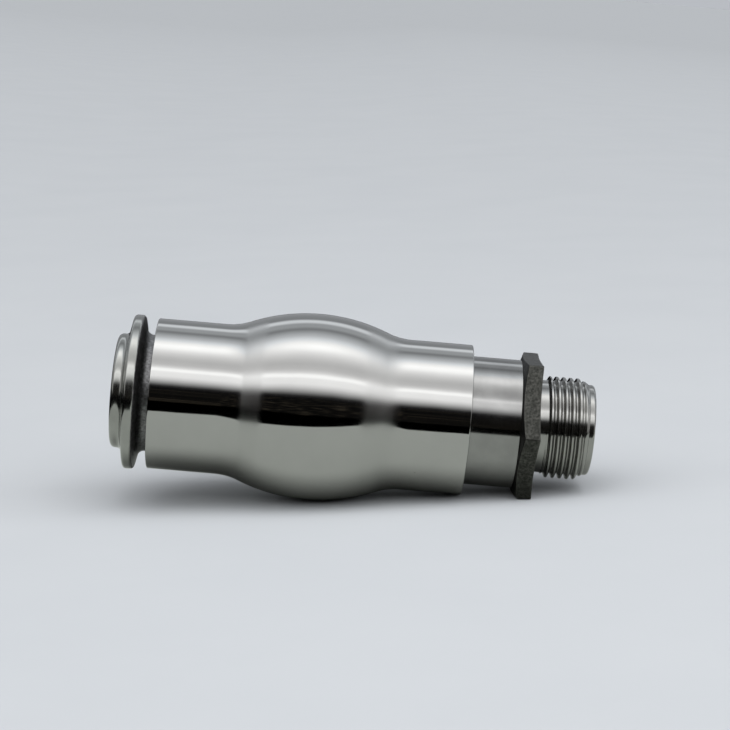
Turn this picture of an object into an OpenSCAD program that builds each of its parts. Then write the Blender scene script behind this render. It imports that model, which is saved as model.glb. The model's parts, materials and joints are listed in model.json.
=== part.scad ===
// In-line tubular sight glass with a spring-returned sliding guard sleeve.
// The flow axis is X: the nose face is at X = 0 and the threaded outlet points to +X.
// Sizes are in millimetres. Two flats of the hexagon face +Z and -Z.

/* [Flow path] */
// Clear bore through the whole fitting
bore_d = 25; // [22:0.5:25.5]
// Outside diameter of the glass tube
glass_d = 30; // [29.5:0.1:30]
// Length of the glass tube
glass_l = 25; // [24:0.5:26]

/* [Ferrule end] */
// Outside diameter of the nose in front of the clamp collar
nose_d = 37.4; // [36:0.1:38]
// Outside diameter of the clamp collar
collar_d = 50.5; // [48:0.5:52]
// Width of the collar's rim
rim_w = 3.1; // [2.6:0.1:3.2]
// Slope of the collar's front face in degrees
front_slope = 12; // [10:1:20]
// Slope of the collar's back face in degrees
back_slope = 12; // [8:1:20]
// Outside diameter of the cast neck and of the windowed barrel behind it
neck_d = 38.1; // [37.8:0.1:38.4]

/* [Windows] */
// Number of windows around the barrel
window_n = 4; // [3:1:4]
// Length of a window along the flow axis
window_l = 13; // [10:0.5:13]
// Width of a window
window_w = 18; // [12:0.5:19]
// Corner radius of a window
window_r = 3; // [1:0.5:4]

/* [Guard sleeve] */
// Distance from the nose face to the sleeve's near edge, with the guard shut
sleeve_x = 12.55; // [12.4:0.05:12.9]
// Length of the guard sleeve
sleeve_l = 102.9; // [102:0.1:103.2]
// Outside diameter of the sleeve's straight ends
sleeve_d = 49.2; // [49:0.1:49.6]
// Wall thickness of the sleeve
sleeve_wall = 2; // [1.8:0.1:2]
// Largest diameter of the bulge
bulge_d = 61; // [56:0.5:63]
// Distance from the nose face to the middle of the bulge
bulge_x = 65.05; // [64.5:0.05:66]
// Lengthwise radius of the bulge's crown
crown_r = 60; // [55:1:65]
// Lengthwise radius of the fillets where the bulge runs out
runout_r = 20.5; // [18:0.5:22]
// How far the guard slides open
travel = 15.5; // [12:0.5:15.5]

/* [Return spring] */
// Wire diameter of the return spring
wire_d = 2.2; // [1.8:0.1:2.3]
// Number of open turns, between one closed turn at each end
open_turns = 8; // [6:1:9]

/* [Adapter] */
// Diameter of the turned land that the guard runs on
land_d = 42; // [41.5:0.1:42.2]
// Thickness of the hexagon at its corners
hex_w = 4.9; // [4:0.1:6]
// Width of the hexagon across its flats
hex_af = 44.1; // [42.5:0.1:45]
// Slope of the hexagon's near face in degrees
hex_slope = 17; // [10:1:25]
// Diameter of the undercut between the hexagon and the thread
undercut_d = 30.2; // [29.5:0.1:30.2]
// Crest diameter of the outlet's parallel pipe thread
thread_d = 33.25; // [32.5:0.05:34]
// Pitch of the outlet thread, 11 turns to the inch
thread_pitch = 2.309; // [2:0.001:2.4]
// Number of full turns of the outlet thread
thread_turns = 6; // [3:1:6]
// Diameter of the smooth lead spigot in front of the thread
spigot_d = 29.6; // [29:0.1:30]
// Distance from the nose face to the end face of the outlet
outlet_x = 156.35; // [156.2:0.05:158]

/* [Hidden] */

$fn = 96;
// Largest turn and largest chord of one step along a rounded corner
step_angle = 15;
step_chord = 2.4;
// Radial clearance of a running fit, and of a part that is pushed in and stays
running = 0.05;
seated = 0.02;

bore_r = bore_d / 2;
nose_r = nose_d / 2;
collar_r = collar_d / 2;
neck_r = neck_d / 2;
land_r = land_d / 2;
undercut_r = undercut_d / 2;

// Collar: its rim, its corners and the fillets at its two roots
rim_x = 4.85;
rim_round = 1;
nose_round = 1.6;
nose_fillet = 1.5;
neck_fillet = 2.5;
bore_chamfer = 0.4;

// Stack inside the barrel, from its shoulder to the adapter's shoulder
glass_pocket_d = 31;
pocket_r = glass_pocket_d / 2;
pocket_x = 10;
gasket_w = 1;
glass_x = pocket_x + gasket_w;
glass_end = glass_x + glass_l;
liner_x = glass_end + gasket_w;
liner_end = 116;
liner_r = pocket_r - 0.1;
stack_end = liner_end + gasket_w;
cushion_w = 2;
cushion_left_x = glass_x + 1;
cushion_right_x = glass_end - 4.5;
window_x = 14.7;

// Joint between the barrel's end and the adapter
adapter_x = 98;
joint_r = 18.5;
joint_gap = 0.05;
barrel_end = 112;
socket_end = 112.3;
lead_in = 0.6;
o_ring_x = 109.7;
o_ring_wire_r = 0.7;
o_groove_w = 2;
o_groove_r = 17.05;

// Guard guides, clips and spring
sleeve_end = sleeve_x + sleeve_l;
sleeve_r = sleeve_d / 2;
tube_r = sleeve_r - sleeve_wall;
edge_break = 0.25;
clip_w = 1.6;
clip_groove = 0.8;
clip_side = 0.05;
stop_x = 30.6;
stop_groove_r = neck_r - clip_groove;
stop_ring_r = 20.7;
guide_clip_r = 21.2;
guide_x = stop_x + clip_w + clip_side;
guide_l = 8;
strip_w = 4;
strip_depth = 1;
ring_relief = 0.1;
guide_bore_r = neck_r + running + ring_relief;
strip_x = guide_x + (guide_l - strip_w) / 2;
washer_w = 1;
washer_x = adapter_x - washer_w;
washer_inner_r = 19.3;
washer_outer_r = 22.2;
spring_x = guide_x + guide_l;
spring_r = 20.65;
bush_clip_x = 102.3;
bush_clip_r = 21.6;
bush_x = bush_clip_x + clip_w;
lip_w = 0.8;
lip_r = 21.5;
wiper_w = 2.9;
wiper_x = sleeve_end - lip_w - wiper_w;
wiper_lip_w = 0.8;
wiper_relief = 0.5;

// Lock screws between the adapter and the barrel
screw_n = 3;
screw_x = 100.5;
screw_r = 1.5;
screw_top = 20.6;
screw_bottom = joint_r;
key_af = 1.5;
key_depth = 1.2;

// Outlet end: the hexagon's corners stand just past the sleeve's edge with the guard open
open_gap = 2.2;
hex_x = sleeve_end + travel + open_gap;
hex_corner_r = hex_af / 2 / cos(30);
hex_root_x = hex_x - (hex_corner_r - land_r) * tan(hex_slope);
hex_chamfer = 0.6;
land_chamfer = 0.5;
undercut_round = 0.6;
undercut_w = 1.9;
thread_x = hex_x + hex_w + undercut_w;
thread_depth = 0.64 * thread_pitch;
thread_r = thread_d / 2;
root_r = thread_r - thread_depth;
spigot_r = spigot_d / 2;
thread_end = thread_x + thread_turns * thread_pitch;
crest_w = 0.4;
root_w = 0.3;
spigot_round = 0.9;

// Unit vector along v
function unit(v) = v / norm(v);

// Steps needed to draw an arc of a given sweep and radius
function arc_steps(sweep, r) =
    max(2, ceil(abs(sweep) / step_angle), ceil(abs(sweep) * PI / 180 * r / step_chord));

// Arc that rounds the corner b between the points a and c
function corner_arc(a, b, c, r) =
    let (
        u = unit(a - b),
        v = unit(c - b),
        half = acos(u * v) / 2,
        centre = b + unit(u + v) * r / sin(half),
        from = b + u * r / tan(half) - centre,
        to = b + v * r / tan(half) - centre,
        start = atan2(from[1], from[0]),
        sweep = (atan2(to[1], to[0]) - start + 540) % 360 - 180,
        n = arc_steps(sweep, r)
    )
    [for (i = [0:n]) centre + r * [cos(start + sweep * i / n), sin(start + sweep * i / n)]];

// Outline whose points are [radius, x] or [radius, x, corner radius]
function rounded(p) =
    [for (i = [0:len(p) - 1])
        let (
            a = p[(i + len(p) - 1) % len(p)],
            b = p[i],
            c = p[(i + 1) % len(p)]
        )
        each len(b) == 3
            ? corner_arc([a[0], a[1]], [b[0], b[1]], [c[0], c[1]], b[2])
            : [b]];

// Solid of revolution about X from an outline of [radius, x] points
module turned(outline) {
    rotate([0, 90, 0])
        rotate_extrude()
            polygon(rounded(outline));
}

// Plain ring between two radii
module ring(inner_r, outer_r, x, w) {
    turned([[inner_r, x], [outer_r, x], [outer_r, x + w], [inner_r, x + w]]);
}

// Spring clip: a flat ring that fits a groove at x and is open at the top
module clip(inner_r, outer_r, x) {
    opening = 3.4;
    difference() {
        ring(inner_r, outer_r, x + seated, clip_w - 2 * seated);
        translate([x - 1, -opening / 2, 0])
            cube([clip_w + 2, opening, outer_r + 1]);
    }
}

// ---- Root body ----

// Cast ferrule with its nose, collar and neck, and the windowed barrel behind it
module ferrule_barrel() {
    front_x = rim_x - (collar_r - nose_r) * tan(front_slope);
    back_x = rim_x + rim_w + (collar_r - neck_r) * tan(back_slope);
    color("lightslategray")
    difference() {
        turned([
            [bore_r + bore_chamfer, 0],
            [nose_r, 0, nose_round],
            [nose_r, front_x, nose_fillet],
            [collar_r, rim_x, rim_round],
            [collar_r, rim_x + rim_w, rim_round],
            [neck_r, back_x, neck_fillet],
            [neck_r, stop_x],
            [stop_groove_r, stop_x],
            [stop_groove_r, stop_x + clip_w],
            [neck_r, stop_x + clip_w],
            [neck_r, adapter_x],
            [joint_r - joint_gap, adapter_x],
            [joint_r - joint_gap, o_ring_x - o_groove_w / 2],
            [o_groove_r, o_ring_x - o_groove_w / 2],
            [o_groove_r, o_ring_x + o_groove_w / 2],
            [joint_r - joint_gap, o_ring_x + o_groove_w / 2],
            [joint_r - joint_gap, barrel_end - lead_in],
            [joint_r - lead_in, barrel_end],
            [pocket_r, barrel_end],
            [pocket_r, pocket_x],
            [bore_r, pocket_x],
            [bore_r, bore_chamfer]
        ]);
        for (i = [0:window_n - 1])
            rotate([i * 360 / window_n, 0, 0])
                window_cut();
    }
}

// Rounded rectangle that cuts one window through the top of the barrel's wall
module window_cut() {
    height = neck_r + 1;
    inset_l = window_l - 2 * window_r;
    inset_w = window_w - 2 * window_r;
    translate([window_x + window_r, -window_w / 2, 0])
        cube([inset_l, window_w, height]);
    translate([window_x, -inset_w / 2, 0])
        cube([window_l, inset_w, height]);
    for (dx = [window_r, window_l - window_r], side = [-1, 1])
        translate([window_x + dx, side * inset_w / 2, 0])
            cylinder(r = window_r, h = height);
}

module glass_tube() {
    round = 0.4;
    color("lightcyan", 0.5)
        turned([
            [bore_r, glass_x, round],
            [glass_d / 2, glass_x, round],
            [glass_d / 2, glass_end, round],
            [bore_r, glass_end, round]
        ]);
}

// Flat gaskets at the two ends of the glass
module glass_gasket_left() {
    color("white")
        ring(bore_r, pocket_r - seated, pocket_x, gasket_w);
}

module glass_gasket_right() {
    color("white")
        ring(bore_r, pocket_r - seated, glass_end, gasket_w);
}

// Soft bands that keep the glass off the metal of the barrel
module glass_cushion_left() {
    color("whitesmoke")
        ring(glass_d / 2 + seated, pocket_r - seated, cushion_left_x, cushion_w);
}

module glass_cushion_right() {
    color("whitesmoke")
        ring(glass_d / 2 + seated, pocket_r - seated, cushion_right_x, cushion_w);
}

// Tube that carries the adapter's clamping force to the glass
module liner_tube() {
    color("silver")
        ring(bore_r, liner_r, liner_x, liner_end - liner_x);
}

module liner_gasket() {
    color("white")
        ring(bore_r, liner_r, liner_end, gasket_w);
}

// O-ring in the groove near the barrel's end
module barrel_o_ring() {
    color("black")
        translate([o_ring_x, 0, 0])
            rotate([0, 90, 0])
                rotate_extrude()
                    translate([o_groove_r + o_ring_wire_r + seated, 0])
                        circle(r = o_ring_wire_r, $fn = 32);
}

// Outside clip on the barrel that stops the guide ring when the guard is shut
module stop_ring() {
    color("dimgray")
        clip(stop_groove_r + seated, stop_ring_r, stop_x);
}

// Washer between the spring and the adapter's end
module spring_washer() {
    color("silver")
        ring(washer_inner_r, washer_outer_r, washer_x, washer_w);
}

// Adapter with the turned land, the cast hexagon, the undercut, the thread and the lead spigot
module adapter() {
    color("darkgray")
    difference() {
        union() {
            turned([
                [0, adapter_x],
                [land_r - land_chamfer, adapter_x],
                [land_r, adapter_x + land_chamfer],
                [land_r, hex_x + hex_w / 2],
                [undercut_r, hex_x + hex_w / 2],
                [undercut_r, thread_x - undercut_round],
                [root_r, thread_x],
                [root_r, thread_end],
                [spigot_r, thread_end + undercut_round],
                [spigot_r, outlet_x, spigot_round],
                [0, outlet_x]
            ]);
            hexagon();
            for (i = [0:thread_turns - 1])
                thread_ridge(thread_x + i * thread_pitch);
        }
        turned([
            [0, adapter_x - 1],
            [joint_r + 1, adapter_x - 1],
            [joint_r + 1, adapter_x],
            [joint_r, adapter_x + 1],
            [joint_r, socket_end],
            [pocket_r, socket_end],
            [pocket_r, stack_end],
            [bore_r, stack_end],
            [bore_r, outlet_x - bore_chamfer],
            [bore_r + bore_chamfer + 1, outlet_x + 1],
            [0, outlet_x + 1]
        ]);
        for (i = [0:screw_n - 1])
            rotate([60 + i * 360 / screw_n, 0, 0])
                translate([screw_x, 0, joint_r - 1])
                    cylinder(r = screw_r + seated, h = land_r, $fn = 32);
    }
}

// Hexagon whose near face slopes back from the land to its corners
module hexagon() {
    end_x = hex_x + hex_w;
    intersection() {
        translate([hex_root_x, 0, 0])
            rotate([0, 90, 0])
                rotate([0, 0, 30])
                    cylinder(r = hex_corner_r, h = end_x - hex_root_x, $fn = 6);
        turned([
            [0, hex_root_x],
            [land_r, hex_root_x],
            [hex_corner_r, hex_x],
            [hex_corner_r, end_x - hex_chamfer],
            [hex_corner_r - hex_chamfer, end_x],
            [0, end_x]
        ]);
    }
}

// One turn of the outlet thread, drawn as a closed ridge
module thread_ridge(x) {
    crest_x = x + (thread_pitch - crest_w) / 2;
    turned([
        [bore_r + 1, x + root_w / 2],
        [root_r, x + root_w / 2],
        [thread_r, crest_x],
        [thread_r, crest_x + crest_w],
        [root_r, x + thread_pitch - root_w / 2],
        [bore_r + 1, x + thread_pitch - root_w / 2]
    ]);
}

// Grub screws with a hexagon socket, flush below the land
module lock_screws() {
    color("dimgray")
    for (i = [0:screw_n - 1])
        rotate([60 + i * 360 / screw_n, 0, 0])
            translate([screw_x, 0, 0])
                difference() {
                    translate([0, 0, screw_bottom])
                        cylinder(r = screw_r, h = screw_top - screw_bottom, $fn = 32);
                    translate([0, 0, screw_top - key_depth])
                        cylinder(r = key_af / 2 / cos(30), h = key_depth + 1, $fn = 6);
                }
}

// ---- Carriage: what the spring pushes ----

// Ring that centres the guard on the barrel and takes the spring's push
module guide_ring() {
    outer_r = tube_r - running;
    color("silver")
        turned([
            [guide_bore_r, guide_x],
            [outer_r - edge_break, guide_x],
            [outer_r, guide_x + edge_break],
            [outer_r, guide_x + guide_l - edge_break],
            [outer_r - edge_break, guide_x + guide_l],
            [guide_bore_r, guide_x + guide_l],
            [guide_bore_r, strip_x + strip_w],
            [guide_bore_r + strip_depth, strip_x + strip_w],
            [guide_bore_r + strip_depth, strip_x],
            [guide_bore_r, strip_x]
        ]);
}

// Plain bearing strip inside the guide ring
module wear_strip() {
    outer_r = guide_bore_r + strip_depth - seated;
    color("sienna")
        ring(neck_r + running, outer_r, strip_x + seated, strip_w - 2 * seated);
}

// Angle around the axis, and place along it, of step i of n along the spring's wire
function spring_place(i, n, length) =
    let (
        turns = open_turns + 2,
        t = turns * i / n,
        open_pitch = (length - 3 * wire_d) / open_turns,
        closed = wire_d * min(t, 1) + wire_d * max(0, t - turns + 1),
        open = open_pitch * min(max(t - 1, 0), open_turns)
    )
    [360 * t, wire_d / 2 + closed + open];

// Compression spring around the barrel
module return_spring() {
    sides = 6;
    steps_per_turn = 18;
    steps = steps_per_turn * (open_turns + 2);
    slack = 0.1;
    length = washer_x - spring_x - 2 * slack;
    wire_r = wire_d / 2 - slack;
    points = [for (i = [0:steps])
        let (place = spring_place(i, steps, length))
        for (j = [0:sides - 1])
            let (r = spring_r + wire_r * cos(360 * j / sides))
            [
                spring_x + slack + place[1] + wire_r * sin(360 * j / sides),
                r * sin(place[0]),
                r * cos(place[0])
            ]];
    skin = [for (i = [0:steps - 1], j = [0:sides - 1])
        let (k = (j + 1) % sides)
        [i * sides + j, i * sides + k, (i + 1) * sides + k, (i + 1) * sides + j]];
    first_end = [for (j = [sides - 1:-1:0]) j];
    last_end = [for (j = [0:sides - 1]) steps * sides + j];
    color("gainsboro")
        polyhedron(points = points, faces = concat([first_end], skin, [last_end]));
}

// ---- Guard body ----

// Control points of a bulged line, with its fillets and crown, offset inwards by inset
function bulge_points(inset) =
    let (
        rise = (bulge_d - sleeve_d) / 2,
        flank = acos(1 - rise / (crown_r + runout_r)),
        keep = 0.995,
        end_r = sleeve_r - inset,
        crown = crown_r - inset,
        runout = runout_r + inset,
        turn_x = crown * sin(flank),
        turn_r = end_r + rise - crown * (1 - cos(flank)),
        base_x = turn_x + (turn_r - end_r) / tan(flank),
        peak_r = turn_r + turn_x * tan(flank)
    )
    [
        [end_r, bulge_x - base_x, runout * keep],
        [peak_r, bulge_x, crown * keep],
        [end_r, bulge_x + base_x, runout * keep]
    ];

// Polished sleeve with the bulge as its grip
module guard_sleeve() {
    outer = bulge_points(0);
    inner = bulge_points(sleeve_wall);
    groove_r = tube_r + clip_groove;
    color("gainsboro")
        turned([
            [tube_r, sleeve_x, edge_break],
            [sleeve_r, sleeve_x, edge_break],
            outer[0], outer[1], outer[2],
            [sleeve_r, sleeve_end, edge_break],
            [lip_r, sleeve_end],
            [lip_r, sleeve_end - lip_w],
            [tube_r, sleeve_end - lip_w],
            [tube_r, bush_clip_x + clip_w],
            [groove_r, bush_clip_x + clip_w],
            [groove_r, bush_clip_x],
            [tube_r, bush_clip_x],
            inner[2], inner[1], inner[0],
            [tube_r, stop_x + clip_w],
            [groove_r, stop_x + clip_w],
            [groove_r, stop_x],
            [tube_r, stop_x]
        ]);
}

// Inside clips: one pulls the guide ring along, one holds the bush
module guide_circlip() {
    color("dimgray")
        clip(guide_clip_r, tube_r + clip_groove - seated, stop_x);
}

module bush_circlip() {
    color("dimgray")
        clip(bush_clip_r, tube_r + clip_groove - seated, bush_clip_x);
}

// Plain bush that runs on the adapter's land
module guide_bush() {
    color("tan")
        ring(land_r + running, tube_r - seated, bush_x + 2 * seated, wiper_x - bush_x - 4 * seated);
}

// Lip seal that keeps dirt off the land
module wiper_ring() {
    outer_r = tube_r - seated;
    color("darkslategray")
        turned([
            [land_r + running, sleeve_end - lip_w - wiper_lip_w],
            [land_r + running + wiper_relief, wiper_x],
            [outer_r, wiper_x],
            [outer_r, wiper_x + wiper_w - seated],
            [land_r + running, wiper_x + wiper_w - seated]
        ]);
}

ferrule_barrel();
glass_tube();
glass_gasket_left();
glass_gasket_right();
glass_cushion_left();
glass_cushion_right();
liner_tube();
liner_gasket();
barrel_o_ring();
stop_ring();
spring_washer();
adapter();
lock_screws();
guide_ring();
wear_strip();
return_spring();
guard_sleeve();
guide_circlip();
guide_bush();
bush_circlip();
wiper_ring();
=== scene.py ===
import json
import math

import bmesh
import bpy
from mathutils import Matrix, Vector


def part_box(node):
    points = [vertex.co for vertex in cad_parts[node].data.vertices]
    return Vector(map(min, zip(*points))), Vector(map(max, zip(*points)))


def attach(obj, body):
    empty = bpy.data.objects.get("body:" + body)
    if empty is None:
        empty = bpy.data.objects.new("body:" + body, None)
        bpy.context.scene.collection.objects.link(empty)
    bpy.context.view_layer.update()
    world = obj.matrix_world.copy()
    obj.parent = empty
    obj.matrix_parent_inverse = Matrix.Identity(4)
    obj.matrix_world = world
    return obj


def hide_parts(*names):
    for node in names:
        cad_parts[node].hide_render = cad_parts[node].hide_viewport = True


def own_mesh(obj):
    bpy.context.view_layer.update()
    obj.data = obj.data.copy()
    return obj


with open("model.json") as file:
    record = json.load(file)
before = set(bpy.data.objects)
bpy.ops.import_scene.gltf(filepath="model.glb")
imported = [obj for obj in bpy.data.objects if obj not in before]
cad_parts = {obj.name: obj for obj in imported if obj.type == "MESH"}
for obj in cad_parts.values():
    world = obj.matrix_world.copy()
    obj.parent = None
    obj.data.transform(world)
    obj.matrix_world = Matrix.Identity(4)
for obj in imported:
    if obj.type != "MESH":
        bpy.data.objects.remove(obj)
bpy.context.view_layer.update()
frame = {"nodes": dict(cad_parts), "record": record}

mm = 0.001

# ---- Sizes, from the frame where it holds them ----

AROUND = 384                # columns around the axis on turned pieces; a multiple of 6 for the hexagon
ARC_STEP = math.radians(6)  # largest turn of one step along a rounded corner
ARC_CHORD = 0.9 * mm        # and its largest chord
SLIVER = 0.03 * mm          # points of an outline closer than this are one point
MERGE = 0.002 * mm          # and so are a mesh's points closer than this
SMOOTH_TO = math.radians(32)  # edges bent more than this are shaded sharp

flow_bore = [m for m in frame["record"]["mounts"] if m["name"] == "flow_bore"][0]
bore_r = flow_bore["dims"]["r_mm"] * mm
bore_chamfer = 0.4 * mm

nose_r = 18.7 * mm
nose_round = 1.6 * mm
nose_fillet = 1.5 * mm
neck_r = 19.05 * mm
neck_fillet = 2.5 * mm
collar_r = 25.25 * mm
rim_x = 4.85 * mm
rim_w = 3.1 * mm
rim_round = 1.0 * mm
front_slope = math.radians(12)
back_slope = math.radians(12)

pocket_x = 10 * mm          # the glass pocket starts here
pocket_r = 15.5 * mm
window_x = 14.7 * mm
window_end = 27.7 * mm
window_w = 18 * mm
window_corner = 3 * mm
barrel_end = 112 * mm
barrel_lead_in = 0.6 * mm
joint_r = 18.5 * mm
joint_gap = 0.05 * mm
o_groove_x = 109.7 * mm     # the groove's middle
o_groove_w = 2 * mm
o_groove_r = 17.05 * mm

sleeve_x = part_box("guard_sleeve")[0].x
sleeve_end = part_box("guard_sleeve")[1].x
bulge_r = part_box("guard_sleeve")[1].z
sleeve_r = 24.6 * mm
sleeve_wall = 2.0 * mm
sleeve_round = 0.35 * mm    # outside edges
sleeve_lead_in = 0.25 * mm  # inside edge on the left
lip_r = 21.5 * mm           # the inward lip on the right
lip_w = 0.8 * mm
bulge_x = 65.05 * mm
crown_r = 60.0 * mm
runout_r = 20.5 * mm

clip_w = 1.6 * mm
clip_groove = 0.8 * mm
stop_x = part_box("stop_ring")[0].x - 0.02 * mm
bush_clip_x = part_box("bush_circlip")[0].x - 0.02 * mm

adapter_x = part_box("adapter")[0].x
outlet_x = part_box("adapter")[1].x
land_r = 21.0 * mm
socket_end = 112.3 * mm     # the barrel's socket ends here
shoulder_x = 117 * mm       # and the liner's here
screw_x = 100.5 * mm
screw_hole_r = 1.52 * mm
hex_af = 2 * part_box("adapter")[1].z
hex_x = 133.15 * mm
hex_w = 4.9 * mm
hex_slope = math.radians(17)
hex_dish = math.radians(8)  # how far the hexagon's far face is dished, seen at its corners
hex_edge = 0.6 * mm
hex_corner_round = 1.0 * mm
undercut_r = 15.1 * mm
thread_x = 139.95 * mm
thread_pitch = 2.309 * mm
thread_r = 16.625 * mm
root_r = thread_r - 0.64 * thread_pitch
thread_run = 6.15 * thread_pitch
thread_fade_from = 0.3      # turns before the thread starts to rise out of the undercut
thread_fade_in = 0.4        # turns that it takes to rise
thread_fade_out = 1.1       # turns that it takes to sink again before the spigot
spigot_r = 14.8 * mm
spigot_round = 0.9 * mm

# ---- Mesh helpers ----


def corner_arc(before, corner, after, radius):
    """Points of the arc that rounds one corner of an outline."""
    u = (before - corner).normalized()
    v = (after - corner).normalized()
    half = u.angle(v) / 2
    centre = corner + (u + v).normalized() * radius / math.sin(half)
    start = corner + u * radius / math.tan(half) - centre
    end = corner + v * radius / math.tan(half) - centre
    sweep = math.atan2(start.x * end.y - start.y * end.x, start.dot(end))
    steps = max(2, math.ceil(abs(sweep) / ARC_STEP), math.ceil(abs(sweep) * radius / ARC_CHORD))
    return [centre + Matrix.Rotation(sweep * i / steps, 2) @ start for i in range(steps + 1)]


def outline(points, closed=True):
    """Rounded outline from (x, r) or (x, r, corner radius) points, as a list of (x, r)."""
    rounded = []
    for i, point in enumerate(points):
        here = Vector(point[:2])
        if len(point) == 3 and (closed or 0 < i < len(points) - 1):
            before = Vector(points[i - 1][:2])
            after = Vector(points[(i + 1) % len(points)][:2])
            rounded += corner_arc(before, here, after, point[2])
        else:
            rounded.append(here)
    return [tuple(p) for i, p in enumerate(rounded) if (p - rounded[i - 1]).length > SLIVER]


def new_object(name, vertices, faces):
    mesh = bpy.data.meshes.new(name)
    mesh.from_pydata(vertices, [], faces)
    mesh.validate()
    obj = bpy.data.objects.new(name, mesh)
    bpy.context.scene.collection.objects.link(obj)
    return obj


def tidy(obj, even=True):
    """Merges coincident points, faces the mesh outwards and shades it smooth.
    even lets the larger faces steer the shading, for outlines with long and short steps."""
    work = bmesh.new()
    work.from_mesh(obj.data)
    bmesh.ops.remove_doubles(work, verts=work.verts, dist=MERGE)
    bmesh.ops.dissolve_degenerate(work, edges=work.edges, dist=MERGE / 4)
    bmesh.ops.recalc_face_normals(work, faces=work.faces)
    work.to_mesh(obj.data)
    work.free()
    obj.data.shade_smooth()
    obj.data.set_sharp_from_angle(angle=SMOOTH_TO)
    if not even:
        return obj
    weigh = obj.modifiers.new("even_shading", "WEIGHTED_NORMAL")
    weigh.keep_sharp = True
    return bake_modifiers(obj)


def bake_modifiers(obj):
    """Replaces the mesh with what its modifiers make of it."""
    bpy.context.view_layer.update()
    shaped = obj.evaluated_get(bpy.context.evaluated_depsgraph_get())
    obj.data = bpy.data.meshes.new_from_object(shaped)
    obj.modifiers.clear()
    return obj


def skin(name, rows, angles, seam=None):
    """Closed surface around the X axis. Each row holds one (x, r) for each angle.
    seam says which row a row runs into where the last angle meets the first, as on a helix."""
    seam = seam or {}
    columns = len(angles)
    vertices = [
        (x, r * math.cos(a), r * math.sin(a))
        for row in rows
        for (x, r), a in zip(row, angles)
    ]
    faces = []
    for i in range(len(rows)):
        k = (i + 1) % len(rows)
        for j in range(columns - 1):
            faces.append((i * columns + j, i * columns + j + 1, k * columns + j + 1, k * columns + j))
        last = columns - 1
        here, there = (seam.get(i, i), seam.get(k, k)) if i in seam and k in seam else (i, k)
        faces.append((i * columns + last, here * columns, there * columns, k * columns + last))
    return tidy(new_object(name, vertices, faces), even=not seam)


def turned(name, points):
    """Solid of revolution about X from a closed outline."""
    angles = [2 * math.pi * j / AROUND for j in range(AROUND)]
    return skin(name, [[point] * AROUND for point in outline(points)], angles)


def prism(name, shape, low, high, turn):
    """Closed prism from a flat shape, between two heights, placed by a matrix."""
    count = len(shape)
    vertices = [turn @ Vector((x, y, z)) for z in (low, high) for x, y in shape]
    sides = [(i, (i + 1) % count, count + (i + 1) % count, count + i) for i in range(count)]
    caps = [tuple(reversed(range(count))), tuple(range(count, 2 * count))]
    return new_object(name, vertices, sides + caps)


def circle(x, y, r, count=32):
    return [
        (x + r * math.cos(2 * math.pi * i / count), y + r * math.sin(2 * math.pi * i / count))
        for i in range(count)
    ]


def cut(obj, cutters, even=True):
    """Cuts the cutters out of obj and removes them."""
    for cutter in cutters:
        modifier = obj.modifiers.new("cut", "BOOLEAN")
        modifier.operation = "DIFFERENCE"
        modifier.solver = "EXACT"
        modifier.object = cutter
    bake_modifiers(obj)
    for cutter in cutters:
        bpy.data.objects.remove(cutter)
    return tidy(obj, even)


def paint(obj, materials, choose=lambda x, r: 0):
    """Gives obj its materials. choose picks one for each face, from the face's place and radius."""
    obj.data.materials.clear()
    for material in materials:
        obj.data.materials.append(material)
    for face in obj.data.polygons:
        radius = math.hypot(face.center.y, face.center.z)
        face.material_index = choose(face.center.x, radius)


def place(obj, body, node):
    """Makes obj stand for a CAD node and move with its body."""
    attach(obj, body)
    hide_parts(node)
    return obj


# ---- Material helpers ----


def material(name, colour, roughness, metallic=1.0):
    """New material and its Principled shader, with uniform values set on the sockets.
    The helpers below call it made, and work on the world as well."""
    made = bpy.data.materials.new(name)
    made.use_nodes = True
    shader = made.node_tree.nodes["Principled BSDF"]
    shader.inputs["Base Color"].default_value = (*colour, 1)
    shader.inputs["Roughness"].default_value = roughness
    shader.inputs["Metallic"].default_value = metallic
    return made, shader


def add(made, kind, inputs=None, **settings):
    """New node with its settings and input values."""
    node = made.node_tree.nodes.new(kind)
    for key, value in settings.items():
        setattr(node, key, value)
    for key, value in (inputs or {}).items():
        if isinstance(value, bpy.types.NodeSocket):
            made.node_tree.links.new(value, node.inputs[key])
        else:
            node.inputs[key].default_value = value
    return node


def noise(made, scale, stretch=(1, 1, 1), detail=3.0, roughness=0.55):
    """Noise in the piece's own coordinates. scale is in features per metre."""
    place_on = add(made, "ShaderNodeTexCoord").outputs["Object"]
    size = tuple(scale * s for s in stretch)
    moved = add(made, "ShaderNodeMapping", {"Vector": place_on, "Scale": size})
    texture = add(
        made, "ShaderNodeTexNoise",
        {"Vector": moved.outputs["Vector"], "Scale": 1.0, "Detail": detail, "Roughness": roughness},
    )
    return texture.outputs["Fac"]


def span(made, value, low, high, to_low=0.0, to_high=1.0, smooth=False):
    """Maps value from low..high to to_low..to_high, clamped."""
    return add(
        made, "ShaderNodeMapRange",
        {"Value": value, "From Min": low, "From Max": high, "To Min": to_low, "To Max": to_high},
        interpolation_type="SMOOTHSTEP" if smooth else "LINEAR",
    ).outputs["Result"]


def calc(made, operation, a, b=0.0):
    """Result of one operation on numbers."""
    return add(made, "ShaderNodeMath", {0: a, 1: b}, operation=operation).outputs[0]


def times_colour(made, colour, factor):
    return add(made, "ShaderNodeVectorMath", {0: colour, 1: factor}, operation="MULTIPLY").outputs[0]


def times(made, a, b):
    return calc(made, "MULTIPLY", a, b)


def plus(made, a, b):
    return calc(made, "ADD", a, b)


def minus(made, a, b):
    return calc(made, "SUBTRACT", a, b)


def axes_of(made, vector):
    """The three parts of a vector."""
    parts = add(made, "ShaderNodeSeparateXYZ", {0: vector}).outputs
    return parts["X"], parts["Y"], parts["Z"]


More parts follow.
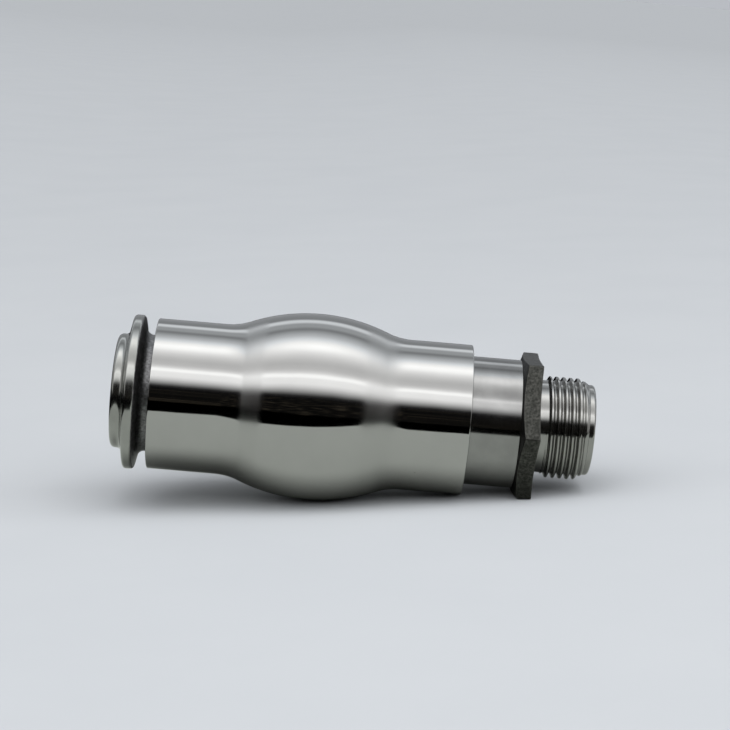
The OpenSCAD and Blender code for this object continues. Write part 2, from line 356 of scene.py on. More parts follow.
def blend_colours(made, factor, first, second):
    """Colour first where factor is 0 and second where it is 1."""
    mix = add(made, "ShaderNodeMix", {"Factor": factor}, data_type="RGBA")
    for name, value in (("A", first), ("B", second)):
        socket = [s for s in mix.inputs if s.name == name and s.type == "RGBA"][0]
        if isinstance(value, bpy.types.NodeSocket):
            made.node_tree.links.new(value, socket)
        else:
            socket.default_value = (*value, 1)
    return [s for s in mix.outputs if s.type == "RGBA"][0]


def link(made, value, socket):
    made.node_tree.links.new(value, socket)


def bump(made, shader, layers):
    """Stacks (height, strength, depth in metres) layers of bump on the shader."""
    normal = None
    for height, strength, depth in layers:
        inputs = {"Height": height, "Strength": strength, "Distance": depth}
        if normal:
            inputs["Normal"] = normal
        normal = add(made, "ShaderNodeBump", inputs).outputs["Normal"]
    link(made, normal, shader.inputs["Normal"])


def scattered_specks(made, scale, inside, outside, keep_above):
    """Small round dots, about one in each cell of 1/scale metres, of which only some are kept."""
    place_on = add(made, "ShaderNodeTexCoord").outputs["Object"]
    cells = add(made, "ShaderNodeTexVoronoi", {"Vector": place_on, "Scale": scale})
    dots = span(made, cells.outputs["Distance"], inside, outside, 1.0, 0.0)
    lottery = axes_of(made, cells.outputs["Color"])[0]
    return times(made, dots, calc(made, "GREATER_THAN", lottery, keep_above))


def brushed_around(made, shader, amount):
    """Spreads reflections along the axis, as fine lines around it do."""
    around = add(made, "ShaderNodeTangent", direction_type="RADIAL", axis="X")
    link(made, around.outputs["Tangent"], shader.inputs["Tangent"])
    shader.inputs["Anisotropic"].default_value = amount
    shader.inputs["Anisotropic Rotation"].default_value = 0.25


# ---- Materials ----


def polished_steel():
    """Buffed stainless steel: fine lines around the axis, hazy valleys beside the bulge, few dark specks."""
    made, shader = material("polished_steel", (0.425, 0.425, 0.413), 0.1)
    lines = noise(made, 1, (2600, 12, 12), detail=1)
    bands = noise(made, 1, (420, 9, 9), detail=1)
    smears = noise(made, 70, detail=4)
    specks = scattered_specks(made, 150, 0.02, 0.035, 0.8)
    tone = blend_colours(made, span(made, smears, 0.3, 0.75), (0.412, 0.412, 0.4), (0.438, 0.438, 0.425))
    link(made, blend_colours(made, specks, tone, (0.12, 0.11, 0.10)), shader.inputs["Base Color"])
    along = axes_of(made, add(made, "ShaderNodeTexCoord").outputs["Object"])[0]
    hazy = plus(made, span(made, smears, 0.35, 0.8, 0.045, 0.085), span(made, lines, 0.3, 0.7, 0.0, 0.03))
    for middle, half_width in HAZY_VALLEYS:
        distance = calc(made, "ABSOLUTE", minus(made, along, bulge_x + middle))
        haze = span(made, distance, 0.3 * half_width, half_width, HAZE, 0.0, smooth=True)
        hazy = plus(made, hazy, haze)
    link(made, calc(made, "MINIMUM", hazy, HAZE_AT_MOST), shader.inputs["Roughness"])
    waves = noise(made, 45, detail=2)
    bump(made, shader, [(lines, 0.03, 0.006 * mm), (bands, 0.12, 0.02 * mm), (waves, 0.15, 0.6 * mm)])
    brushed_around(made, shader, 0.8)
    return made


def turned_steel(name, colour, roughness, groove, spread=0.6):
    """Turned stainless steel with a tool mark at every feed step around the axis."""
    made, shader = material(name, colour, roughness)
    marks = noise(made, 1, (4200, 8, 8), detail=4, roughness=0.65)
    feed = noise(made, 1, (1300, 4, 4), detail=2)
    stains = noise(made, 110, detail=4)
    dull = tuple(0.82 * c for c in colour)
    link(made, blend_colours(made, span(made, stains, 0.35, 0.7), dull, colour), shader.inputs["Base Color"])
    rough = plus(
        made,
        span(made, marks, 0.3, 0.7, roughness - 0.04, roughness + 0.04),
        span(made, stains, 0.4, 0.7, 0, 0.05),
    )
    link(made, rough, shader.inputs["Roughness"])
    bump(made, shader, [(feed, groove, 0.05 * mm), (marks, groove, 0.02 * mm)])
    brushed_around(made, shader, spread)
    return made


def cast_steel(name, dark, light, edge):
    """Shot-blasted investment casting: coarse grains, shallow pits, darker hollows and rubbed edges."""
    made, shader = material(name, light, 0.5)
    grains = noise(made, 2600, detail=3)
    pits = noise(made, 1300, detail=3)
    waves = noise(made, 330, detail=3)
    patches = noise(made, 420, detail=2)
    tone = blend_colours(made, span(made, pits, 0.32, 0.68), dark, light)
    worn = span(made, add(made, "ShaderNodeNewGeometry").outputs["Pointiness"], 0.52, 0.6)
    edges = blend_colours(made, worn, tone, edge)
    stained = times(made, span(made, patches, 0.42, 0.62), 0.5)
    link(made, blend_colours(made, stained, edges, dark), shader.inputs["Base Color"])
    link(made, span(made, grains, 0.3, 0.7, 0.3, 0.5), shader.inputs["Roughness"])
    bump(made, shader, [(waves, 0.35, 0.25 * mm), (pits, 0.4, 0.1 * mm), (grains, 0.35, 0.05 * mm)])
    return made


def drawn_wire(name, colour, roughness):
    """Drawn or stamped spring steel with a thin oxide film."""
    made, shader = material(name, colour, roughness)
    film = noise(made, 420, detail=3)
    draw = noise(made, 2600, (0.2, 1, 1), detail=2)
    dark = tuple(0.6 * c for c in colour)
    link(made, blend_colours(made, span(made, film, 0.3, 0.7), dark, colour), shader.inputs["Base Color"])
    link(made, span(made, draw, 0.3, 0.7, roughness - 0.07, roughness + 0.09), shader.inputs["Roughness"])
    bump(made, shader, [(draw, 0.2, 0.02 * mm)])
    return made


def borosilicate():
    """Clear glass tube with faint drawing lines along it and a trace of haze."""
    made, shader = material("borosilicate", (0.93, 0.98, 0.97), 0.02, metallic=0)
    shader.inputs["IOR"].default_value = 1.473
    shader.inputs["Transmission Weight"].default_value = 1.0
    streaks = noise(made, 1, (40, 900, 900), detail=2)
    haze = noise(made, 160, detail=4)
    link(made, span(made, haze, 0.5, 0.9, 0.01, 0.09), shader.inputs["Roughness"])
    bump(made, shader, [(streaks, 0.08, 0.02 * mm)])
    return made


def waxy(name, colour, fleck, scale):
    """Skived or moulded PTFE: matt, with flecks of its filler and soft cutting lines."""
    made, shader = material(name, colour, 0.5, metallic=0)
    shader.inputs["Subsurface Weight"].default_value = 0.08
    shader.inputs["Subsurface Radius"].default_value = (0.6 * mm, 0.6 * mm, 0.6 * mm)
    flecks = noise(made, scale, detail=2)
    cuts = noise(made, 1, (2400, 30, 30), detail=3)
    link(made, blend_colours(made, span(made, flecks, 0.55, 0.7), colour, fleck), shader.inputs["Base Color"])
    link(made, span(made, cuts, 0.3, 0.7, 0.42, 0.58), shader.inputs["Roughness"])
    bump(made, shader, [(cuts, 0.2, 0.02 * mm), (flecks, 0.1, 0.02 * mm)])
    return made


def elastomer():
    """Moulded black rubber with a fine dusty bloom."""
    made, shader = material("elastomer", (0.025, 0.025, 0.026), 0.55, metallic=0)
    bloom = noise(made, 900, detail=4)
    mould = noise(made, 3000, detail=2)
    dusty = blend_colours(made, span(made, bloom, 0.5, 0.8), (0.02, 0.02, 0.021), (0.07, 0.07, 0.068))
    link(made, dusty, shader.inputs["Base Color"])
    link(made, span(made, bloom, 0.3, 0.7, 0.45, 0.68), shader.inputs["Roughness"])
    bump(made, shader, [(mould, 0.15, 0.02 * mm)])
    return made


# Middle, measured from the bulge's middle, and half width of the valleys that the buffing wheel left hazy
HAZY_VALLEYS = ((-20.0 * mm, 5.0 * mm), (21.0 * mm, 8.0 * mm))
HAZE = 0.22
HAZE_AT_MOST = 0.262        # roughness of the hazy valleys where they are haziest

POLISHED = polished_steel()
SATIN = turned_steel("satin_steel", (0.32, 0.32, 0.312), 0.13, 0.07, 0.85)
BRIGHT = turned_steel("bright_turned_steel", (0.37, 0.37, 0.355), 0.15, 0.07, 0.7)
TUMBLED = turned_steel("tumbled_steel", (0.38, 0.385, 0.365), 0.15, 0.06, 0.5)
PLAIN = turned_steel("plain_steel", (0.58, 0.58, 0.57), 0.3, 0.2)
BLASTED = cast_steel("blasted_steel", (0.10, 0.10, 0.10), (0.30, 0.30, 0.305), (0.36, 0.36, 0.35))
HEX_CAST = cast_steel("dark_cast_steel", (0.026, 0.027, 0.024), (0.088, 0.088, 0.08), (0.13, 0.13, 0.12))
WIRE = drawn_wire("spring_wire", (0.50, 0.49, 0.47), 0.28)
# Painted shade: near-black cast steel for the cone between the land and the hexagon, where shade falls in the
# corner
PAINTED_SHADE_CAST = cast_steel("painted_shade_cast_steel", (0.008, 0.008, 0.007), (0.026, 0.026, 0.024), (0.08, 0.08, 0.075))
OXIDE = drawn_wire("oxide_spring_steel", (0.13, 0.125, 0.12), 0.4)
GLASS = borosilicate()
WHITE_PTFE = waxy("ptfe", (0.86, 0.86, 0.84), (0.80, 0.80, 0.77), 300)
BRONZE_PTFE = waxy("bronze_filled_ptfe", (0.20, 0.11, 0.055), (0.42, 0.27, 0.12), 2600)
RUBBER = elastomer()

# ---- Pieces that stay as the frame has them ----

FINISHES = {
    "glass_tube": GLASS,
    "glass_gasket_left": WHITE_PTFE,
    "glass_gasket_right": WHITE_PTFE,
    "glass_cushion_left": WHITE_PTFE,
    "glass_cushion_right": WHITE_PTFE,
    "liner_tube": PLAIN,
    "liner_gasket": WHITE_PTFE,
    "barrel_o_ring": RUBBER,
    "spring_washer": PLAIN,
    "lock_screws": OXIDE,
    "guide_ring": PLAIN,
    "wear_strip": BRONZE_PTFE,
    "guide_bush": BRONZE_PTFE,
    "wiper_ring": RUBBER,
}
for node_name, finish in FINISHES.items():
    paint(frame["nodes"][node_name], [finish])

# ---- Pieces with finer meshes ----


def windowed_ferrule():
    """Cast ferrule: turned nose and rim, cast back, neck and windowed barrel."""
    front_x = rim_x - (collar_r - nose_r) * math.tan(front_slope)
    rim_end = rim_x + rim_w
    back_x = rim_end + (collar_r - neck_r) * math.tan(back_slope)
    fit_r = joint_r - joint_gap
    points = [
        (0, bore_r + bore_chamfer),
        (0, nose_r, nose_round),
        (front_x, nose_r, nose_fillet),
        (rim_x, collar_r, rim_round),
        (rim_end, collar_r, rim_round),
        (back_x, neck_r, neck_fillet),
        (stop_x, neck_r),
        (stop_x, neck_r - clip_groove),
        (stop_x + clip_w, neck_r - clip_groove),
        (stop_x + clip_w, neck_r),
        (adapter_x, neck_r, 0.2 * mm),
        (adapter_x, fit_r),
        (o_groove_x - o_groove_w / 2, fit_r),
        (o_groove_x - o_groove_w / 2, o_groove_r),
        (o_groove_x + o_groove_w / 2, o_groove_r),
        (o_groove_x + o_groove_w / 2, fit_r),
        (barrel_end - barrel_lead_in, fit_r),
        (barrel_end, fit_r - barrel_lead_in),
        (barrel_end, pocket_r),
        (pocket_x, pocket_r),
        (pocket_x, bore_r),
        (bore_chamfer, bore_r),
    ]
    piece = turned("ferrule_barrel_visual", points)
    window = outline([
        (window_x, -window_w / 2, window_corner),
        (window_end, -window_w / 2, window_corner),
        (window_end, window_w / 2, window_corner),
        (window_x, window_w / 2, window_corner),
    ])
    reach = 30 * mm  # past the barrel on both sides
    turns = [Matrix.Rotation(math.radians(a), 4, "X") for a in (0, 90)]
    cut(piece, [prism("window", window, -reach, reach, turn) for turn in turns])

    blasted, tumbled, bright = 0, 1, 2

    def region(x, r):
        if x < rim_end - 0.2 * mm and r > bore_r + 1 * mm:
            return tumbled
        return bright if x > stop_x - 1 * mm or r < 17 * mm else blasted

    paint(piece, [BLASTED, TUMBLED, BRIGHT], region)
    return place(piece, "fitting", "ferrule_barrel")


def bulged_line(inset):
    """Corners of the bulged line, moved inwards from the sleeve's outside by inset."""
    rise = bulge_r - sleeve_r
    flank = math.acos(1 - rise / (crown_r + runout_r))
    end_r = sleeve_r - inset
    crown = crown_r - inset
    runout = runout_r + inset
    turn_x = crown * math.sin(flank)
    turn_r = end_r + rise - crown * (1 - math.cos(flank))
    base_x = turn_x + (turn_r - end_r) / math.tan(flank)
    peak_r = turn_r + turn_x * math.tan(flank)
    return [
        (bulge_x - base_x, end_r, runout),
        (bulge_x, peak_r, crown),
        (bulge_x + base_x, end_r, runout),
    ]


def polished_sleeve():
    """Guard sleeve: polished outside, a clip groove near each end inside, and a lip on the right."""
    inner = bulged_line(sleeve_wall)
    tube_r = sleeve_r - sleeve_wall
    groove_r = tube_r + clip_groove
    points = [
        (sleeve_x, tube_r, sleeve_lead_in),
        (sleeve_x, sleeve_r, sleeve_round),
        *bulged_line(0),
        (sleeve_end, sleeve_r, sleeve_round),
        (sleeve_end, lip_r),
        (sleeve_end - lip_w, lip_r),
        (sleeve_end - lip_w, tube_r),
        (bush_clip_x + clip_w, tube_r),
        (bush_clip_x + clip_w, groove_r),
        (bush_clip_x, groove_r),
        (bush_clip_x, tube_r),
        *reversed(inner),
        (stop_x + clip_w, tube_r),
        (stop_x + clip_w, groove_r),
        (stop_x, groove_r),
        (stop_x, tube_r),
    ]
    piece = turned("guard_sleeve_visual", points)
    inside = outline([(sleeve_x, tube_r), *inner, (sleeve_end, tube_r)], closed=False)
    end_face = 0.3 * mm
    polished, plain = 0, 1

    def region(x, r):
        inside_r = min(inside, key=lambda p: abs(p[0] - x))[1]
        within = sleeve_x + end_face < x < sleeve_end - end_face
        return plain if within and r < inside_r + 0.6 * sleeve_wall else polished

    paint(piece, [POLISHED, PLAIN], region)
    return place(piece, "guard", "guard_sleeve")


def hexagon_radius(angle):
    """Distance from the axis to the hexagon's outline. Two flats face up and down."""
    apothem = hex_af / 2
    off = abs(math.degrees(angle) % 60 - 30)
    from_flat = math.radians(off)
    from_corner = math.radians(30 - off)
    to_round = apothem - hex_corner_round
    if from_flat < math.atan2(to_round * math.tan(math.radians(30)), apothem):
        return apothem / math.cos(from_flat)
    centre = to_round / math.cos(math.radians(30))
    across = centre * math.sin(from_corner)
    return centre * math.cos(from_corner) + math.sqrt(hex_corner_round**2 - across**2)


def hexagon_angles():
    """Angles around the axis, close together at the six corners."""
    half = [0.12, 0.36, 0.62, 0.9, 1.2] + [1.6 + 1.42 * i for i in range(21)]  # degrees from a corner
    offsets = [-a for a in reversed(half) if a < 30] + half
    return sorted(math.radians((60 * k + a) % 360) for k in range(6) for a in offsets if a <= 30)


def share(value):
    """value, kept from 0 to 1."""
    return max(0.0, min(1.0, value))


def thread_rows(angles, steps):
    """Rows of a right-hand helical thread, rising after the undercut and sinking before the spigot.
    Each turn has that many steps."""
    turns = thread_run / thread_pitch
    half_ridge = 0.44           # share of the pitch from a ridge's middle to its foot
    flank = 0.32                # share of the pitch that one flank takes
    easing = 0.05               # rounding of crest and root
    rows = []
    for row in range(math.ceil((turns + 1) * steps) + 1):
        rise = share((half_ridge - abs(row / steps % 1 - 0.5)) / flank)
        ridge = rise - easing * math.sin(2 * math.pi * rise)
        start = thread_x + (row / steps - 1) * thread_pitch
        line = []
        for angle in angles:
            x = start + thread_pitch * angle / (2 * math.pi)
            x = min(max(x, thread_x), thread_x + thread_run)
            along = (x - thread_x) / thread_pitch
            fade_in = share((along - thread_fade_from) / thread_fade_in)
            fade_out = share((turns - along) / thread_fade_out)
            line.append((x, root_r + (thread_r - root_r) * ridge * fade_in * fade_out))
        rows.append(line)
    return rows


def threaded_adapter():
    """Adapter in one skin: the land, the hexagon, the undercut, the thread, the spigot and the bore."""
    angles = hexagon_angles()
    radii = [hexagon_radius(a) for a in angles]
    corner_r = hex_af / 2 / math.cos(math.radians(30))
    root_x = hex_x - (corner_r - land_r) * math.tan(hex_slope)
    hex_end = hex_x + hex_w
    face_r = hex_af / 2 - 1.5 * mm  # the far face is round inside this radius

    def constant(points):
        return [[point] * len(angles) for point in outline(points, closed=False)]

    def on_cone(r):
        return root_x + (r - land_r) * math.tan(hex_slope)

    def far_face(r):
        return hex_end - (corner_r - r) * math.tan(hex_dish)

    # Rows up the cone, round the near edge, along the flats and round the far edge
    hexagon = [
        [(on_cone(r - 0.5 * mm), r - 0.5 * mm) for r in radii],
        [(on_cone(r - 0.2 * mm) + 0.03 * mm, r - 0.2 * mm) for r in radii],
        [(on_cone(r) + 0.08 * mm, r - 0.05 * mm) for r in radii],
        [(on_cone(r) + 0.5 * mm, r) for r in radii],
        [(far_face(r) - hex_edge, r) for r in radii],
        [(far_face(r) - 0.3 * hex_edge, r - 0.1 * hex_edge) for r in radii],
        [(far_face(r) - 0.1 * hex_edge, r - 0.3 * hex_edge) for r in radii],
        [(far_face(r - hex_edge), r - hex_edge) for r in radii],
    ]

    before = constant([
        (adapter_x, joint_r + 1 * mm),
        (adapter_x, land_r - 0.5 * mm),
        (adapter_x + 0.5 * mm, land_r),
        (root_x - 0.2 * mm, land_r),
        (root_x, land_r + 0.05 * mm),
    ])
    between = constant([
        (far_face(face_r), face_r),
        (far_face(face_r), undercut_r, 0.5 * mm),
        (thread_x - 0.6 * mm, undercut_r),
    ])
    steps = 18
    helix = thread_rows(angles, steps)
    after = constant([
        (thread_x + thread_run + 0.3 * mm, spigot_r),
        (outlet_x, spigot_r, spigot_round),
        (outlet_x, bore_r + bore_chamfer, 0.1 * mm),
        (outlet_x - bore_chamfer, bore_r),
        (shoulder_x, bore_r),
        (shoulder_x, pocket_r),
        (socket_end, pocket_r),
        (socket_end, joint_r),
        (adapter_x + 1 * mm, joint_r),
    ])
    rows = before + hexagon + between + helix + after
    first = len(before) + len(hexagon) + len(between)
    seam = {first + i: first + min(i + steps, len(helix) - 1) for i in range(len(helix))}
    piece = skin("adapter_visual", rows, angles, seam)
    screw_hole = circle(screw_x, 0, screw_hole_r)
    turns = [Matrix.Rotation(math.radians(a), 4, "X") for a in (60, 180, 300)]
    holes = [prism("hole", screw_hole, joint_r - 1 * mm, land_r + 3 * mm, turn) for turn in turns]
    cut(piece, holes, even=False)
    satin, hex_cast, bright, painted_shade_cone = range(4)

    def region(x, r):
        # The cone in the corner between the land and the hexagon takes the painted shade
        if root_x - 0.1 * mm < x < on_cone(r) + 0.2 * mm and r > land_r + 0.02 * mm:
            return painted_shade_cone
        if root_x + 0.02 * mm < x < hex_end + 0.02 * mm and r > undercut_r + 0.6 * mm:
            return hex_cast
        return bright if x > hex_end - 1 * mm or r < joint_r + 0.4 * mm else satin

    paint(piece, [SATIN, HEX_CAST, BRIGHT, PAINTED_SHADE_CAST], region)
    return place(piece, "fitting", "adapter")


def spring_coil():
    """Closed and ground compression spring with a round wire."""
    low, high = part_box("return_spring")
    wire_r = 1.0 * mm
    coil_r = high.z - wire_r
    turns = 10                  # with one closed turn at each end
    steps = 60 * turns
    sides = 16
    ground_off = 0.35 * wire_r
    length = high.x - low.x
    pitch = (length - 6 * wire_r) / (turns - 2)
    vertices = []
    for i in range(steps + 1):
        t = turns * i / steps
        closed = 2 * wire_r * (min(t, 1) + max(0, t - turns + 1))
        middle_x = low.x + wire_r + closed + pitch * min(max(t - 1, 0), turns - 2)
        for j in range(sides):
            around = 2 * math.pi * j / sides
            r = coil_r + wire_r * math.cos(around)
            x = min(max(middle_x + wire_r * math.sin(around), low.x + ground_off), high.x - ground_off)
            vertices.append((x, r * math.sin(2 * math.pi * t), r * math.cos(2 * math.pi * t)))
    faces = [
        (i * sides + j, i * sides + (j + 1) % sides, (i + 1) * sides + (j + 1) % sides, (i + 1) * sides + j)
        for i in range(steps)
        for j in range(sides)
    ]
    faces.append(tuple(range(sides)))
    faces.append(tuple(steps * sides + j for j in reversed(range(sides))))
    piece = tidy(new_object("return_spring_visual", vertices, faces))
    paint(piece, [WIRE])
    place(piece, "carriage", "return_spring")
    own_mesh(piece)
    return piece


def spring_clip(node_name, body, inner_r, outer_r):
    """Retaining ring: a flat spring ring, open at the top, with a plier hole near each end."""
    low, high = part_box(node_name)
    steps = 180
    gap = 3.4 * mm
    end_round = 0.35 * mm
    middle_r = (inner_r + outer_r) / 2
    opening = math.asin(gap / 2 / middle_r)
    closing = 2 * math.pi - opening

    def spot(r, angle):
        return r * math.sin(angle), r * math.cos(angle)

    shape = []
    there_and_back = ((outer_r, inner_r, opening, closing), (inner_r, outer_r, closing, opening))
    for r, other_r, start, end in there_and_back:
        inset = math.copysign(end_round / r, end - start)
        inwards = math.copysign(end_round, other_r - r)
        shape += [spot(r, start + inset + (end - start - 2 * inset) * i / steps) for i in range(steps + 1)]
        shape += [spot(r + inwards, end), spot(other_r - inwards, end)]
    stand_up = Matrix(((0, 0, 1, 0), (1, 0, 0, 0), (0, 1, 0, 0), (0, 0, 0, 1)))
    piece = prism(node_name + "_visual", shape, low.x, high.x, stand_up)
    hole_r = min(0.55 * mm, 0.28 * (outer_r - inner_r))
    hole_at = opening + 1.6 * mm / middle_r
    plier_holes = [circle(*spot(middle_r, side * hole_at), hole_r, 24) for side in (-1, 1)]
    cut(piece, [prism("plier_hole", hole, low.x - mm, high.x + mm, stand_up) for hole in plier_holes])
    paint(piece, [OXIDE])
    return place(piece, body, node_name)


windowed_ferrule()
polished_sleeve()
threaded_adapter()
spring_coil()
spring_clip("stop_ring", "fitting", 18.27 * mm, 20.7 * mm)
spring_clip("guide_circlip", "guard", 21.2 * mm, 23.38 * mm)
spring_clip("bush_circlip", "guard", 21.6 * mm, 23.38 * mm)

# ---- Floor ----


def resting_slope():
    """Slope of the surface that touches the bulge and the hexagon's lower far edge."""
    far_x = hex_x + hex_w
    line = outline([(sleeve_x, sleeve_r), *bulged_line(0), (sleeve_end, sleeve_r)], closed=False)
    return max((r - hex_af / 2) / (far_x - x) for x, r in line)


def floor_height(x, slope):
    """Height of the floor: tilted under the object, level well clear of it."""
    centre = 75 * mm
    tilted = 170 * mm           # the slope holds this far from the centre
    easing = 100 * mm           # and then dies away over about this length
    off = x - centre
    over = max(0.0, abs(off) - tilted)
    run = min(abs(off), tilted) + easing * (1 - math.exp(-over / easing))
    return slope * (math.copysign(run, off) - (hex_x + hex_w - centre)) - hex_af / 2


def distance_from_object(made, x, y):
    """Distance over the floor from the object's axis, in metres."""
    end = 20 * mm
    nearest = add(made, "ShaderNodeClamp", {"Value": x, "Min": end, "Max": outlet_x - end}).outputs[0]
    flat = add(made, "ShaderNodeCombineXYZ", {"X": minus(made, x, nearest), "Y": y}).outputs[0]
    return add(made, "ShaderNodeVectorMath", {0: flat}, operation="LENGTH").outputs["Value"]


# The floor's colours. Metal sees it darker close to the object, as painted shade and a painted contact shadow
# in its reflections, and black well away from it, as a painted dark room in its reflections.
FLOOR_TONES = ((0.535, 0.555, 0.577), (0.55, 0.569, 0.59))
# Painted shade: the floor's colour as metal sees it, darker than the floor itself
FLOOR_SHADED_IN_METAL = (0.50, 0.525, 0.49)
BLACK = (0.0, 0.0, 0.0)
FLOOR_BRIGHT_TO = 150 * mm
FLOOR_DARK_FROM = 158 * mm
# Painted shade: how far the floor darkens towards near black, far behind the object
DISTANT_PAINTED_SHADE = 0.14


def pale_floor():
    """Matt floor that reaches to the horizon, with close steps where it bends."""
    slope = resting_slope()
    xs = [-40, -10, -3, -1] + [-0.6 + 0.01 * i for i in range(131)] + [1, 3, 10, 40]
    ys = [-40, -5, -1, 0, 1, 5, 40]
    vertices = [(x, y, floor_height(x, slope)) for x in xs for y in ys]
    rows = len(ys)
    faces = [
        (i * rows + j, (i + 1) * rows + j, (i + 1) * rows + j + 1, i * rows + j + 1)
        for i in range(len(xs) - 1)
        for j in range(rows - 1)
    ]
    floor = new_object("floor", vertices, faces)
    floor.data.shade_smooth()
    made, shader = material("pale_floor", FLOOR_TONES[0], 0.85, metallic=0)
    shader.inputs["Specular IOR Level"].default_value = 0.0
    x, y, _ = axes_of(made, add(made, "ShaderNodeNewGeometry").outputs["Position"])
    tone = blend_colours(made, span(made, noise(made, 14, detail=4), 0.3, 0.7), *FLOOR_TONES)
    # Painted shade on the floor, darker further behind the object
    depth = span(made, y, 0.6, 6.0, 0.0, DISTANT_PAINTED_SHADE)
    plain = blend_colours(made, depth, tone, (0.008, 0.008, 0.008))
    away = distance_from_object(made, x, y)
    # Painted contact shadow: the floor that metal sees turns darker towards the object
    shade = span(made, away, 4 * mm, 30 * mm, 0.6, 0.0, smooth=True)
    shaded_in_metal = blend_colours(made, shade, FLOOR_SHADED_IN_METAL, BLACK)
    seen_by_metal = add(made, "ShaderNodeLightPath").outputs["Is Glossy Ray"]
    colour = blend_colours(made, seen_by_metal, plain, shaded_in_metal)
    # Painted shade in reflections: metal sees the floor black far from the object
    far = times(made, span(made, away, FLOOR_BRIGHT_TO, FLOOR_DARK_FROM), seen_by_metal)
    link(made, blend_colours(made, far, colour, BLACK), shader.inputs["Base Color"])
    floor.data.materials.append(made)


pale_floor()

# ---- Light ----

# Brightness of the studio against the angle over the object, from the front horizon up and over to the back
SKY = [
    (0, 0.006),
    (20, 0.006),
    (23, 0.04),
    (25, 0.18),
    (27.5, 0.48),
    (30.5, 0.88),
    (34, 1.35),
    (38, 1.75),
    (45, 1.86),
    (47, 2.2),
    (49.5, 2.15),
    (52, 1.6),
    (55, 1.25),
    (58, 1.08),
    (64, 1.01),
    (69, 1.12),
    (75, 1.38),
    (81, 1.76),
    (86, 2.2),
    (91, 2.35),
    (96, 2.05),
    (102, 1.58),
    (108, 1.07),
    (115, 0.7),
    (121, 0.4),
    (127, 0.66),
    (134, 0.66),
    (138, 1.25),
    (143, 1.25),
    (148, 0.42),
    (152, 0.4),
    (180, 0.4),
]
WARM_TINT = (1.0, 1.0, 1.015)
COOL_TINT = (0.945, 0.985, 1.04)
COOL_FROM = 100             # the light is cooler behind this angle
WALLS = 0.5                 # brightness of the walls at the object's two ends
WALLS_AT = (0.74, 0.97)     # share along the axis of the directions where they start and are full
SOFT_TINT = (0.985, 0.995, 1.01)
FRONT_LIGHT = 1.97          # brightness of the soft light on matt surfaces from the front and above
BACK_LIGHT = 0.3            # and from behind the object
STRIP_FALLOFF = 0.1         # how much the strips of light bend down towards the object's two ends
BACKDROP = (0.485, 0.505, 0.54)


def room_clutter(world, x, front):
    """Faint brownish streaks low in the dark part of the room in front of the object."""
    where = add(world, "ShaderNodeCombineXYZ", {"X": times(world, front, 170.0), "Y": times(world, x, 5.0)})
    streaks = add(world, "ShaderNodeTexNoise", {"Vector": where.outputs[0], "Scale": 1.0, "Detail": 3.0})
    seen = span(world, streaks.outputs["Fac"], 0.52, 0.7, smooth=True)
    low = span(world, front, 0.10, 0.115, 1.0, 0.0, smooth=True)
    return times_colour(world, (0.030, 0.025, 0.018), times(world, seen, low))


def half_turn(world, x, y, z):
    """Height above the front horizon and place on the way over to the back one, as shares of a half turn."""
    ends = times(world, times(world, x, x), STRIP_FALLOFF)
    length = calc(world, "SQRT", plus(world, plus(world, times(world, y, y), times(world, z, z)), ends))
    front = calc(world, "DIVIDE", calc(world, "ARCSINE", calc(world, "DIVIDE", z, length)), math.pi)
    behind = calc(world, "GREATER_THAN", y, 0.0)
    back = minus(world, 1.0, front)
    return front, plus(world, front, times(world, behind, minus(world, back, front)))


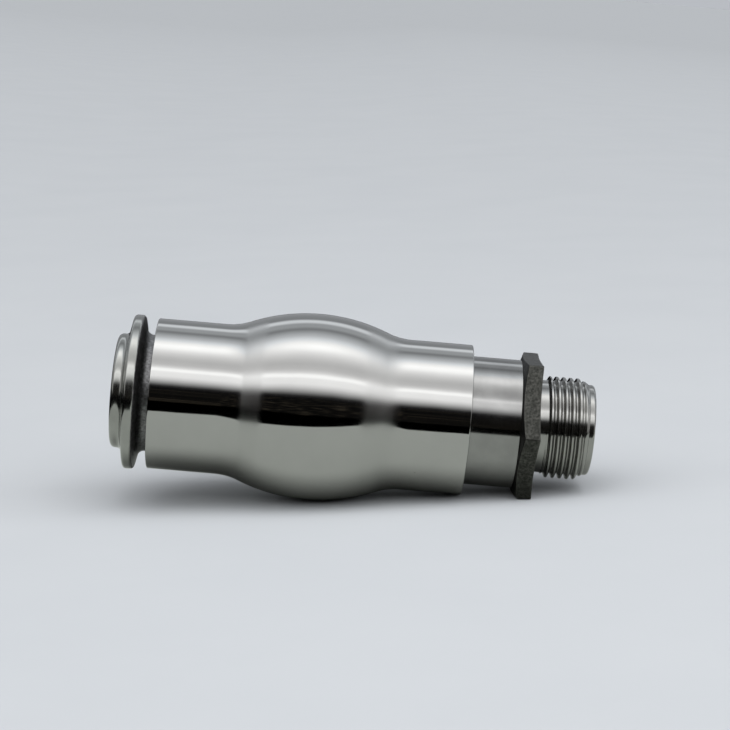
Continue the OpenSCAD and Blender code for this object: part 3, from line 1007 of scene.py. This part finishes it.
def studio_light():
    """A dark room with long strips of soft light over the object, and a plain pale backdrop.
    Metal sees the room, matt surfaces get soft light from the front, and the camera sees the backdrop."""
    world = bpy.data.worlds.new("studio")
    bpy.context.scene.world = world
    world.use_nodes = True
    world.node_tree.nodes.clear()
    x, y, z = axes_of(world, add(world, "ShaderNodeTexCoord").outputs["Generated"])
    front, over = half_turn(world, x, y, z)
    ramp = add(world, "ShaderNodeValToRGB", {0: over})
    stops = ramp.color_ramp.elements
    brightest = max(level for _, level in SKY)
    while len(stops) < len(SKY):
        stops.new(0.5)
    for stop, (angle, level) in zip(stops, SKY):
        stop.position = angle / 180
        grey = level / brightest
        tint = COOL_TINT if angle > COOL_FROM else WARM_TINT
        stop.color = (*(part * grey for part in tint), 1)
    beside = span(world, calc(world, "ABSOLUTE", x), *WALLS_AT, smooth=True)
    strips = blend_colours(world, beside, ramp.outputs["Color"], (WALLS / brightest,) * 3)
    clutter = room_clutter(world, x, front)
    room = add(world, "ShaderNodeVectorMath", {0: strips, 1: clutter}, operation="ADD").outputs[0]
    rising = span(world, over, 0.08, 0.17, 0.0, FRONT_LIGHT / brightest, smooth=True)
    falling = span(world, over, 0.35, 0.65, 1.0, BACK_LIGHT / FRONT_LIGHT, smooth=True)
    soft = times_colour(world, SOFT_TINT, times(world, rising, falling))
    seen_by = add(world, "ShaderNodeLightPath").outputs
    lit = blend_colours(world, seen_by["Is Glossy Ray"], soft, room)
    sky = add(world, "ShaderNodeBackground", {"Color": lit, "Strength": brightest})
    plain = add(world, "ShaderNodeBackground", {"Color": (*BACKDROP, 1)})
    shown = {0: seen_by["Is Camera Ray"], 1: sky.outputs[0], 2: plain.outputs[0]}
    add(world, "ShaderNodeOutputWorld", {"Surface": add(world, "ShaderNodeMixShader", shown).outputs[0]})


def softbox(name, centre, target, width, depth, power):
    """Soft light that metal and the camera don't see."""
    light = bpy.data.lights.new(name, "AREA")
    light.shape = "RECTANGLE"
    light.size = width
    light.size_y = depth
    light.energy = power
    obj = bpy.data.objects.new(name, light)
    bpy.context.scene.collection.objects.link(obj)
    obj.location = centre
    obj.rotation_euler = (Vector(target) - Vector(centre)).to_track_quat("-Z", "Y").to_euler()
    obj.visible_camera = False
    obj.visible_glossy = False


studio_light()
softbox("front_softbox", (0.08, -0.35, 0.8), (0.08, -0.05, 0), 0.7, 0.5, 1.8)

# ---- Camera ----

CAMERA_TURN = math.radians(1.18)
CAMERA_DOWN = math.radians(9.8)
CAMERA_ROLL = math.radians(5.09)
CAMERA_DISTANCE = 748.2 * mm
CAMERA_AIM = Vector((80.79, 2.5, 14.87)) * mm
CAMERA_LENS = 112.5         # on a sensor 36 mm wide


def photo_camera():
    """Camera at the photograph's place and angle."""
    ahead = Vector((
        math.sin(CAMERA_TURN) * math.cos(CAMERA_DOWN),
        math.cos(CAMERA_TURN) * math.cos(CAMERA_DOWN),
        -math.sin(CAMERA_DOWN),
    ))
    level = Vector((math.cos(CAMERA_TURN), -math.sin(CAMERA_TURN), 0))
    above = level.cross(ahead)
    right = level * math.cos(CAMERA_ROLL) + above * math.sin(CAMERA_ROLL)
    up = above * math.cos(CAMERA_ROLL) - level * math.sin(CAMERA_ROLL)
    data = bpy.data.cameras.new("camera")
    data.sensor_width = 36
    data.lens = CAMERA_LENS
    obj = bpy.data.objects.new("camera", data)
    bpy.context.scene.collection.objects.link(obj)
    turn = Matrix((right, up, -ahead)).transposed().to_4x4()
    obj.matrix_world = Matrix.Translation(CAMERA_AIM - CAMERA_DISTANCE * ahead) @ turn
    bpy.context.scene.camera = obj


photo_camera()
bpy.context.scene.view_settings.view_transform = "Standard"
